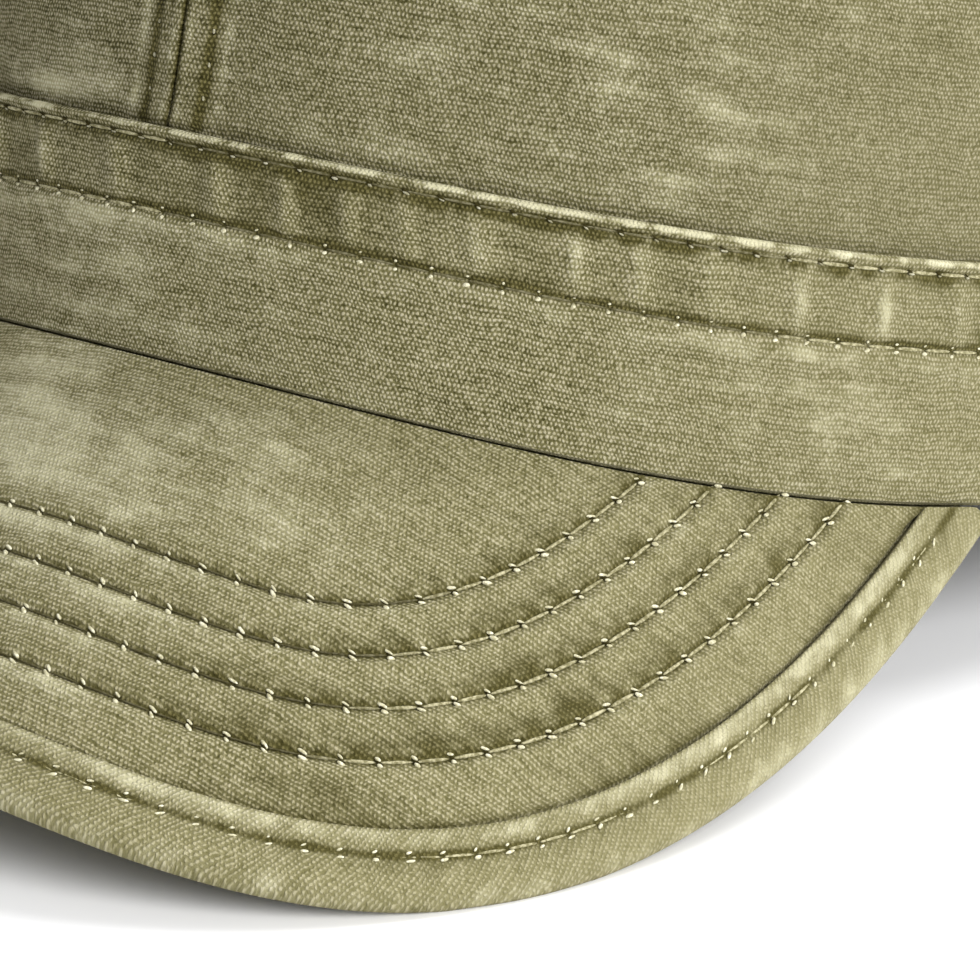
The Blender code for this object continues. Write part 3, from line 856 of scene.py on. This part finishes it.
def make_binding(material):
    columns = 860
    run, inward, room, along = EDGE.stretch(columns + 1)
    middle = -0.5 * PEAK_THICKNESS
    inner_top = -PEAK_EDGE_STEP + GAP
    outer_top = inner_top + BINDING_THICKNESS
    radius = outer_top - middle
    inner_radius = inner_top - middle
    top = np.linspace(1.0, 0.0, 24)
    arc = np.linspace(0.5 * math.pi, -0.5 * math.pi, 12)[1:-1]
    under = np.linspace(0.0, 1.0, 14)
    back = np.linspace(-0.5 * math.pi, 0.5 * math.pi, 7)
    outer_rows = len(top) + len(arc)
    hidden_rows = len(under) + len(back) + 1
    rows = outer_rows + hidden_rows

    def section(width):
        """In from the edge, above the upper face, and the relief's share, for each column and row."""
        width = width[:, None]
        flat_top = radius + (width - radius) * top
        parts_in = [flat_top, radius - radius * np.cos(arc) + 0 * width]
        parts_in += [radius + (width - radius) * under]
        parts_in += [radius - inner_radius * np.cos(back) + 0 * width, width]
        above = [np.full_like(flat_top, outer_top), middle + radius * np.sin(arc) + 0 * width]
        above += [2.0 * middle - outer_top + 0 * width * under]
        above += [middle + inner_radius * np.sin(back) + 0 * width, inner_top + 0 * width]
        return np.concatenate(parts_in, 1), np.concatenate(above, 1)

    inward_by, above_by = section(np.minimum(BINDING_WIDTH + GAP - INNER_GAP, room - GAP))
    share = np.concatenate((np.ones(len(top)), 0.5 + 0.5 * np.sin(arc), np.zeros(hidden_rows)))

    def shape(i, j):
        j = j % rows
        inset = inward_by[i, j]
        length = along[i]
        hole = holes_near(length, STITCH, SEAM_HOLE_WIDTH)
        drift = swelling("binding_drift", length, inset)
        relief, wear_and_shading = lines_along(BINDING_LINES, inset, swelling("binding_shake", length, inset))
        relief += 0.00008 * hump(inset, BULGE, BULGE_WIDTH) * (1.0 - hole) + 0.00014 * drift
        relief += sewn_groove(inset, BINDING_ROW, 0.00050, 0.00030, hole)
        wear_and_shading += 0.20 * drift - 0.08
        fade = np.clip((room[i] - BINDING_WIDTH) / 0.004, 0.0, 1.0)
        points = PEAK.lift(run[i] + inward[i] * inset[:, None], above_by[i, j] + relief * share[j] * fade)
        flat = np.stack((length, np.where(j < outer_rows, inset, -inset)), -1)
        slant = np.stack((flat[:, 0] + flat[:, 1], flat[:, 0] - flat[:, 1]), -1) * math.sqrt(0.5)
        return points, slant, wear_and_shading * share[j]

    data = cloth_mesh("binding_cloth", columns, rows, shape, False)
    dress("binding_cloth", data, material, "peak_binding")


# Threads

def ball_mesh(name, count):
    """A mesh of so many equal balls of radius 1, and how many corners one ball has."""
    mesh = bmesh.new()
    bmesh.ops.create_uvsphere(mesh, u_segments=6, v_segments=5, radius=1.0)
    bmesh.ops.rotate(mesh, verts=mesh.verts, matrix=Matrix.Rotation(0.5 * math.pi, 3, "Y"))
    single = bpy.data.meshes.new(name + "_single")
    mesh.to_mesh(single)
    mesh.free()
    holder = added(name + "_single", single)
    array = holder.modifiers.new("array", "ARRAY")
    array.count = count
    array.use_relative_offset = False
    bpy.context.view_layer.update()
    evaluated = holder.evaluated_get(bpy.context.evaluated_depsgraph_get())
    data = bpy.data.meshes.new_from_object(evaluated)
    corners = len(single.vertices)
    bpy.data.objects.remove(holder)
    bpy.data.meshes.remove(single)
    data.name = name
    return data, corners


class Sewing:
    """Rounded beads of thread, gathered in one mesh: long ones for stitches, short ones for knots and for the
    painted shadow in needle holes.
    """

    def __init__(self, name):
        self.name = name
        self.centres = []
        self.axes = []
        self.shades = []
        self.shake = np.random.default_rng(len(name))

    def add(self, centres, along, up, half_sizes, shade=0.0):
        """Beads with half sizes along, aside and up."""
        along = unit(along)
        aside = unit(np.cross(up, along))
        up = np.cross(along, aside)
        self.centres.append(centres)
        self.shades.append(np.full(len(centres), shade))
        self.axes.append(np.stack((along, aside, up), 1) * half_sizes[:, :, None])

    def sew(self, holes, normals, sink, looped=False, shade=0.0):
        """A row of stitches from hole to hole, sunk into the cloth. What lies in shade looks thinner."""
        holes = REST.place(holes)
        normals = REST.direction(normals)
        start, end = holes, np.roll(holes, -1, 0)
        up = unit(normals + np.roll(normals, -1, 0))
        if not looped:
            start, end, up = start[:-1], end[:-1], up[:-1]
        half = 0.5 * np.linalg.norm(end - start, axis=1) * 0.93
        width = THREAD_HALF_WIDTH * (0.9 + 0.2 * self.shake.random(len(start))) * (1.0 - 0.45 * shade)
        sizes = np.stack((half, width, 0.85 * width), -1)
        self.add(0.5 * (start + end) - up * sink, end - start, up, sizes, shade)

    def tie(self, holes, normals, strokes, sink, looped=False):
        """The spots where a thread dips into its needle hole: pale worn thread, and dark beads of painted
        shadow where a stroke lies in shade.
        """
        holes = REST.place(holes)
        up = REST.direction(normals)
        along = unit(np.roll(holes, -1, 0) - np.roll(holes, 1, 0) if looped else np.gradient(holes, axis=0))
        aside = np.cross(up, along)
        for stroke in strokes:
            shake = self.shake.random((len(holes), 4))
            nudge = 0.8 + 0.4 * shake[:, :1]
            offset = (along * stroke.forward + aside * stroke.sideways) * nudge
            turn = stroke.turned + 0.6 * (shake[:, 1:2] - 0.5)
            direction = along * np.cos(turn) + aside * np.sin(turn)
            length = stroke.length * (0.65 + 0.6 * shake[:, 2])
            width = stroke.width * (0.70 + 0.5 * shake[:, 3])
            sizes = np.stack((length, width, 0.8 * width), -1)
            self.add(holes + offset - up * sink, direction, up, sizes, stroke.shade)

    def finish(self, material, slot):
        centres = np.concatenate(self.centres)
        axes = np.concatenate(self.axes)
        data, corners = ball_mesh(self.name, len(centres))
        ball = np.empty(len(data.vertices) * 3)
        data.vertices.foreach_get("co", ball)
        ball = ball.reshape(len(centres), corners, 3)
        placed = np.einsum("bck,bkx->bcx", ball, axes) + centres[:, None]
        data.vertices.foreach_set("co", placed.ravel())
        shade = data.attributes.new("shade", "FLOAT", "POINT")
        shade.data.foreach_set("value", np.repeat(np.concatenate(self.shades), corners))
        data.update()
        data.shade_smooth()
        dress(self.name, data, material, None)


Stroke = namedtuple("Stroke", "forward sideways turned length width shade", defaults=(0.0,))
BOW_TIE = (
    # forward and sideways from the hole, turn, half length, half width, how much it lies in shade
    Stroke(-0.00004, 0.00034, 2.55, 0.00046, 0.00018),
    Stroke(0.00010, -0.00036, 2.45, 0.00043, 0.00023),
)
# a dark bead in each needle hole: a painted shadow
HOLE = (Stroke(0.00002, -0.00002, 2.50, 0.00034, 0.00010, 1.0),)
DOTS = (
    Stroke(0.0, 0.00040, 0.3, 0.00018, 0.00013),
    Stroke(0.00008, -0.00042, 0.3, 0.00028, 0.00024),
)
DASHES = (
    Stroke(0.00004, 0.00036, 0.5, 0.00028, 0.00013),
    Stroke(0.00010, -0.00038, 0.3, 0.00044, 0.00018),
)
SMALL_VEES = (
    # a dark slot at the hole, a painted shadow, and a half-shaded pale bit
    Stroke(0.00000, 0.00006, 2.7, 0.00036, 0.00014, 1.00),
    Stroke(0.00018, -0.00016, 2.9, 0.00032, 0.00013, 0.45),
)
SEAM_DOTS = (Stroke(0.0, 0.0, 0.2, 0.00022, 0.00015, 0.45),)


def up_normals(vectors):
    return np.concatenate((vectors, np.zeros((len(vectors), 1))), -1)


def unit(vectors):
    return vectors / np.linalg.norm(vectors, axis=-1, keepdims=True)


def sew_band(stitches, knots):
    runs = np.arange(round(RUN.whole / RUN.stitch)) * RUN.stitch
    angles = RUN.angle(runs)
    normals = up_normals(outward(angles))
    for up, strokes in ((LOW_ROW, DOTS), (TOP_ROW, SMALL_VEES)):
        level = np.full(len(runs), up)
        between = RUN.angle(runs + 0.5 * RUN.stitch)
        relief, _wear_and_shading = band_relief(RUN.at(between), level)
        points = band_point(angles, relief, level)
        bare = softened(np.clip((np.abs(runs) - 0.055) / 0.010, 0.0, 1.0))
        stitches.sew(points, normals, -0.00003, True, 0.65 * (1.0 - bare))
        knots.tie(points, normals, strokes, -0.00010, True)


def sew_peak(stitches, knots):
    for inset, phase in zip(PEAK_ROWS, ROW_PHASES):
        flat = row_holes(inset, phase)
        relief, _wear_and_shading = peak_relief(flat)
        points = PEAK.lift(flat, relief + 0.00022)
        normals = PEAK.normal(flat)
        bare = softened(np.clip((np.abs(flat[:, 0]) - 0.034) / 0.006, 0.0, 1.0))
        stitches.sew(points, normals, (-0.00008 + 0.00010 * bare)[:-1, None], shade=0.85 * (1.0 - bare[:-1]))
        knots.tie(points, normals, BOW_TIE, -0.00010)
        # dark beads of painted shadow in the needle holes
        stitches.tie(points, normals, HOLE, -0.00016)
        under = PEAK.lift(flat, np.full(len(flat), -PEAK_THICKNESS))
        stitches.sew(under, -normals, 0.00004)


def sew_binding(stitches, knots):
    inside = EDGE.room > BINDING_WIDTH
    places = np.arange(math.ceil(EDGE.run[inside][0] / STITCH), EDGE.run[inside][-1] / STITCH) * STITCH
    row = EDGE.points + EDGE.inward * BINDING_ROW
    flat = np.stack([np.interp(places, EDGE.run, row[:, k]) for k in (0, 1)], -1)
    outer_top = -PEAK_EDGE_STEP + GAP + BINDING_THICKNESS
    points = PEAK.lift(flat, np.full(len(flat), outer_top - 0.00022))
    normals = PEAK.normal(flat)
    stitches.sew(points, normals, 0.00012)
    knots.tie(points, normals, DASHES, -0.00008)
    under = PEAK.lift(flat, np.full(len(flat), -PEAK_THICKNESS - outer_top))
    stitches.sew(under, -normals, 0.00004)


def sew_crown(stitches, knots):
    inset = OVERLAP_THICKNESS + GAP
    heights = np.arange(STITCH, 0.97 * CROWN_FRONT_HEIGHT, STITCH) / CROWN_FRONT_HEIGHT
    for middle in (0.0, RUN.runs[-1]):
        for side in (-1.0, 1.0):
            run = side * (SEAM_STITCHES if middle == 0.0 else middle - SEAM_STITCHES)
            angle = np.full(len(heights), float(RUN.angle(run)))
            relief, _wear_and_shading = crown_relief(angle, heights)
            angle = angle + seam_lean(angle, heights)
            points = crown_point(angle, heights, inset)
            normals = up_normals(outward(angle))
            points[:, :2] += outward(angle) * (relief + 0.0001)[:, None]
            stitches.sew(points, normals, 0.00016)
            knots.tie(points, normals, SEAM_DOTS, 0.0)
    count = round(TOP_RING / STITCH)
    angles = 2.0 * math.pi * np.arange(count) / count
    points = top_point(angles, np.full(count, TOP_SEWN), np.full(count, 0.00022))
    normals = np.tile((0.0, 0.0, 1.0), (count, 1))
    stitches.sew(points, normals, 0.00004, True)
    knots.tie(points, normals, SEAM_DOTS, 0.0, True)


# Materials

class Term:
    """A shader socket that takes part in plain arithmetic."""

    def __init__(self, finish, socket):
        self.finish = finish
        self.socket = socket

    def __add__(self, other):
        return self.finish.math("ADD", self, other)

    def __sub__(self, other):
        return self.finish.math("SUBTRACT", self, other)

    def __rsub__(self, other):
        return self.finish.math("SUBTRACT", other, self)

    def __mul__(self, other):
        return self.finish.math("MULTIPLY", self, other)

    def __truediv__(self, other):
        return self.finish.math("DIVIDE", self, other)

    __radd__ = __add__


class Finish:
    """A material and the nodes that make its look."""

    def __init__(self, name):
        self.material = bpy.data.materials.new(name)
        self.material.use_nodes = True
        self.tree = self.material.node_tree
        self.shader = self.tree.nodes["Principled BSDF"]

    def feed(self, sockets, values):
        for key, value in values.items():
            if isinstance(value, Term):
                self.tree.links.new(value.socket, sockets[key])
            else:
                sockets[key].default_value = value

    def surface(self, **values):
        self.feed(self.shader.inputs, {name.replace("_", " "): value for name, value in values.items()})

    def node(self, kind, output, sockets, **settings):
        made = self.tree.nodes.new(kind)
        for name, value in settings.items():
            setattr(made, name, value)
        self.feed(made.inputs, sockets)
        return Term(self, made.outputs[output])

    def math(self, operation, *values):
        return self.node("ShaderNodeMath", 0, dict(enumerate(values)), operation=operation)

    def mix(self, factor, low, high, way="MIX"):
        sockets = {0: factor, 6: low, 7: high}
        return self.node("ShaderNodeMix", 2, sockets, data_type="RGBA", blend_type=way)

    def noise(self, vector, scale, detail=2.0, roughness=0.5):
        sockets = {"Vector": vector, "Scale": scale, "Detail": detail, "Roughness": roughness}
        return self.node("ShaderNodeTexNoise", "Fac", sockets)

    def steps(self, value, low, high):
        """0 below low, 1 above high, smooth between."""
        sockets = {0: value, 1: low, 2: high}
        return self.node("ShaderNodeMapRange", 0, sockets, interpolation_type="SMOOTHSTEP")

    def vector(self, x, y, z=0.0):
        return self.node("ShaderNodeCombineXYZ", 0, {0: x, 1: y, 2: z})

    def split(self, vector):
        made = self.tree.nodes.new("ShaderNodeSeparateXYZ")
        self.feed(made.inputs, {0: vector})
        return [Term(self, output) for output in made.outputs]


WARP_PITCH = 0.209  # millimetres from yarn to yarn
WEFT_PITCH = 0.464
MARKED_FROM = 0.05  # the level of wear and painted shading where cloth starts to turn pale or dark
MARKED_FULLY = 1.30
DARKEST_YARN = 0.20
Cloth = namedtuple("Cloth", "colour contrast slanting ribs")


def canvas(name, cloth):
    """Washed plain-woven canvas: pale yarn crowns in staggered rows, a mottled wash, worn crests, and painted
    light and shade.
    """
    finish = Finish(name)
    place = finish.node("ShaderNodeUVMap", 0, {}, uv_map="threads")
    bent = finish.noise(place, 0.22, 1.0)
    kinked = finish.noise(place, 0.90, 2.0)
    x, y, _z = finish.split(place)
    across = (x + (bent - 0.5) * 0.7 + (kinked - 0.5) * 0.30) / WARP_PITCH
    along = (y + (bent - 0.5) * 0.9 + (kinked - 0.5) * 0.30) / WEFT_PITCH
    rising = finish.math("COSINE", (across + along) * math.pi)
    falling = finish.math("COSINE", (across - along) * math.pi)
    ribs = finish.math("COSINE", along * (2.0 * math.pi))
    weave = (rising + falling) * cloth.slanting + ribs * cloth.ribs
    fleck = finish.noise(finish.vector(across * 0.5, along, 3.0), 1.1, 2.0, 0.7)
    yarn = finish.noise(finish.vector(across * 0.03, along * 0.6, 7.0), 1.0, 1.0)
    crown = finish.steps(weave + (fleck - 0.5) * 2.6, -0.55, 1.10)
    space = finish.node("ShaderNodeTexCoord", "Object", {})
    wash = finish.noise(space, 170.0, 5.0, 0.68)
    cloud = finish.noise(space, 34.0, 2.0, 0.5)
    streak = finish.noise(finish.vector(x * 0.09, y * 0.45, 5.0), 1.0, 3.0, 0.6)
    wear_and_shading = finish.node("ShaderNodeAttribute", "Fac", {}, attribute_name="wear_and_shading")
    level = wear_and_shading + (wash - 0.5) * 1.7 + (cloud - 0.5) * 1.0 + (streak - 0.5) * 1.2
    # pale for wear and painted light, deep olive for painted shade and darker cloth
    pale = finish.steps(level, MARKED_FROM, MARKED_FULLY)
    dark = finish.steps(level * -1.0, MARKED_FROM, MARKED_FULLY)
    colour = finish.mix(pale, cloth.colour, WORN_AND_LIT_OLIVE)
    colour = finish.mix(dark, colour, DEEP_OLIVE)
    grain = (crown - 0.45) * 1.4 + (fleck - 0.5) * 2.0 + (yarn - 0.5) * 0.8
    side, _y, _z = finish.split(space)
    smooth = finish.steps(side, 0.030, 0.075)
    crisp = 1.20 - pale * 0.85 - cloud * 0.4 - smooth * 0.38
    light = finish.math("MAXIMUM", 1.0 + grain * cloth.contrast * crisp, DARKEST_YARN)
    tone = finish.node("ShaderNodeCombineColor", 0, {0: light, 1: light, 2: finish.math("POWER", light, 1.4)})
    colour = finish.mix(1.0, colour, tone, "MULTIPLY")
    bump = finish.node("ShaderNodeBump", 0, {"Height": grain, "Distance": 0.00010, "Strength": 0.8})
    finish.surface(Base_Color=colour, Roughness=0.92, Specular_IOR_Level=0.10, Normal=bump)
    finish.surface(Sheen_Weight=0.03, Sheen_Roughness=0.5)
    return finish.material


def thread_finish(name, colour, pale):
    """Twisted cotton thread."""
    finish = Finish(name)
    space = finish.node("ShaderNodeTexCoord", "Object", {})
    fleck = finish.noise(space, 2600.0, 2.0, 0.6)
    tint = finish.mix(finish.steps(fleck, 0.35, 0.7), colour, pale)
    shade = finish.node("ShaderNodeAttribute", "Fac", {}, attribute_name="shade")
    tint = finish.mix(shade, tint, HOLE_SHADE)
    bump = finish.node("ShaderNodeBump", 0, {"Height": fleck, "Distance": 0.00008, "Strength": 0.7})
    finish.surface(Base_Color=tint, Roughness=0.85, Specular_IOR_Level=0.08, Normal=bump)
    return finish.material


OLIVE = (0.212, 0.193, 0.104, 1.0)
STRIP_OLIVE = (0.252, 0.230, 0.125, 1.0)
PEAK_OLIVE = (0.264, 0.241, 0.129, 1.0)
BINDING_OLIVE = (0.262, 0.240, 0.128, 1.0)
# pale for worn cloth and for painted light; DEEP_OLIVE for painted shade and darker cloth
WORN_AND_LIT_OLIVE = (0.560, 0.530, 0.350, 1.0)
DEEP_OLIVE = (0.092, 0.081, 0.026, 1.0)
THREAD_OLIVE = (0.200, 0.182, 0.090, 1.0)
THREAD_LIGHT = (0.520, 0.485, 0.310, 1.0)
KNOT_CREAM = (0.820, 0.790, 0.600, 1.0)
KNOT_SHADE = (0.450, 0.420, 0.260, 1.0)
HOLE_SHADE = (0.036, 0.030, 0.008, 1.0)


# The stage

def make_stage():
    data = grid("floor", 1, 1, 4.0)
    finish = Finish("pale_floor")
    finish.surface(Base_Color=(0.96, 0.96, 0.97, 1.0), Roughness=0.9)
    data.materials.append(finish.material)
    floor = added("floor", data)


def soft_light(name, place, target, size, power):
    light = bpy.data.lights.new(name, "AREA")
    light.shape = "DISK"
    light.size = size
    light.energy = power
    lamp = added(name, light)
    lamp.location = place
    lamp.rotation_euler = (Vector(target) - Vector(place)).to_track_quat("-Z", "Y").to_euler()


def make_lights():
    soft_light("side_light", (0.90, -0.35, 0.60), (0.03, -0.06, 0.0), 0.80, 12.9)
    soft_light("overhead_light", (0.30, 0.62, 1.00), (0.0, -0.05, 0.0), 0.80, 14.2)
    world = bpy.data.worlds.new("studio")
    world.use_nodes = True
    background = world.node_tree.nodes["Background"]
    background.inputs["Color"].default_value = (1.0, 1.0, 1.0, 1.0)
    background.inputs["Strength"].default_value = 0.46
    bpy.context.scene.world = world


def make_camera():
    azimuth, elevation, roll = CAMERA_AZIMUTH, CAMERA_ELEVATION, CAMERA_ROLL
    level = math.cos(elevation)
    back = np.array((math.sin(azimuth) * level, -math.cos(azimuth) * level, math.sin(elevation)))
    right = unit(np.cross(-back, (0.0, 0.0, 1.0)))
    up = np.cross(right, -back)
    aside = math.cos(roll) * right + math.sin(roll) * up
    above = -math.sin(roll) * right + math.cos(roll) * up
    place = REST.place(CAMERA_TARGET + back * CAMERA_DISTANCE)
    axes = REST.direction(np.stack((aside, above, back)))
    data = bpy.data.cameras.new("camera")
    data.sensor_width = 36.0
    data.lens = CAMERA_FOCUS_PIXELS / FRAME_PIXELS * data.sensor_width
    data.clip_start = 0.01
    camera = added("camera", data)
    camera.matrix_world = Matrix.Translation(place) @ Matrix(axes.T.tolist()).to_4x4()
    bpy.context.scene.camera = camera
    bpy.context.scene.view_settings.view_transform = "Standard"


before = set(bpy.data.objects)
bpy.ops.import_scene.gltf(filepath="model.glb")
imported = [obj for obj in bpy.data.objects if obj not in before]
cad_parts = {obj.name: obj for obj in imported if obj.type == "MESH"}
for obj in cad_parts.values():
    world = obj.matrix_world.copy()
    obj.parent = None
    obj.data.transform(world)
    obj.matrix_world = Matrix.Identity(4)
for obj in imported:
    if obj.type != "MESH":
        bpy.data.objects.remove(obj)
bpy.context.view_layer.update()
REST = Rest(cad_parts["band"])
crown_canvas = canvas("crown_canvas", Cloth(OLIVE, 0.72, 0.50, 0.55))
band_canvas = canvas("band_canvas", Cloth(STRIP_OLIVE, 0.72, 0.50, 0.55))
peak_canvas = canvas("peak_canvas", Cloth(PEAK_OLIVE, 0.60, 0.32, 0.65))
binding_canvas = canvas("binding_canvas", Cloth(BINDING_OLIVE, 0.44, 0.32, 0.65))
thread = thread_finish("sewing_thread", THREAD_OLIVE, THREAD_LIGHT)
pale = thread_finish("worn_thread", KNOT_SHADE, KNOT_CREAM)
make_band(band_canvas)
make_crown_half("crown_left_cloth", 1.0, crown_canvas)
make_crown_half("crown_right_cloth", -1.0, crown_canvas)
make_crown_top(crown_canvas)
make_peak(peak_canvas)
make_binding(binding_canvas)
for name, sew in (("band", sew_band), ("peak", sew_peak), ("binding", sew_binding), ("crown", sew_crown)):
    stitches = Sewing(name + "_stitches")
    knots = Sewing(name + "_stitch_knots")
    sew(stitches, knots)
    stitches.finish(thread, name + "_cloth")
    knots.finish(pale, name + "_cloth")
make_stage()
make_lights()
make_camera()
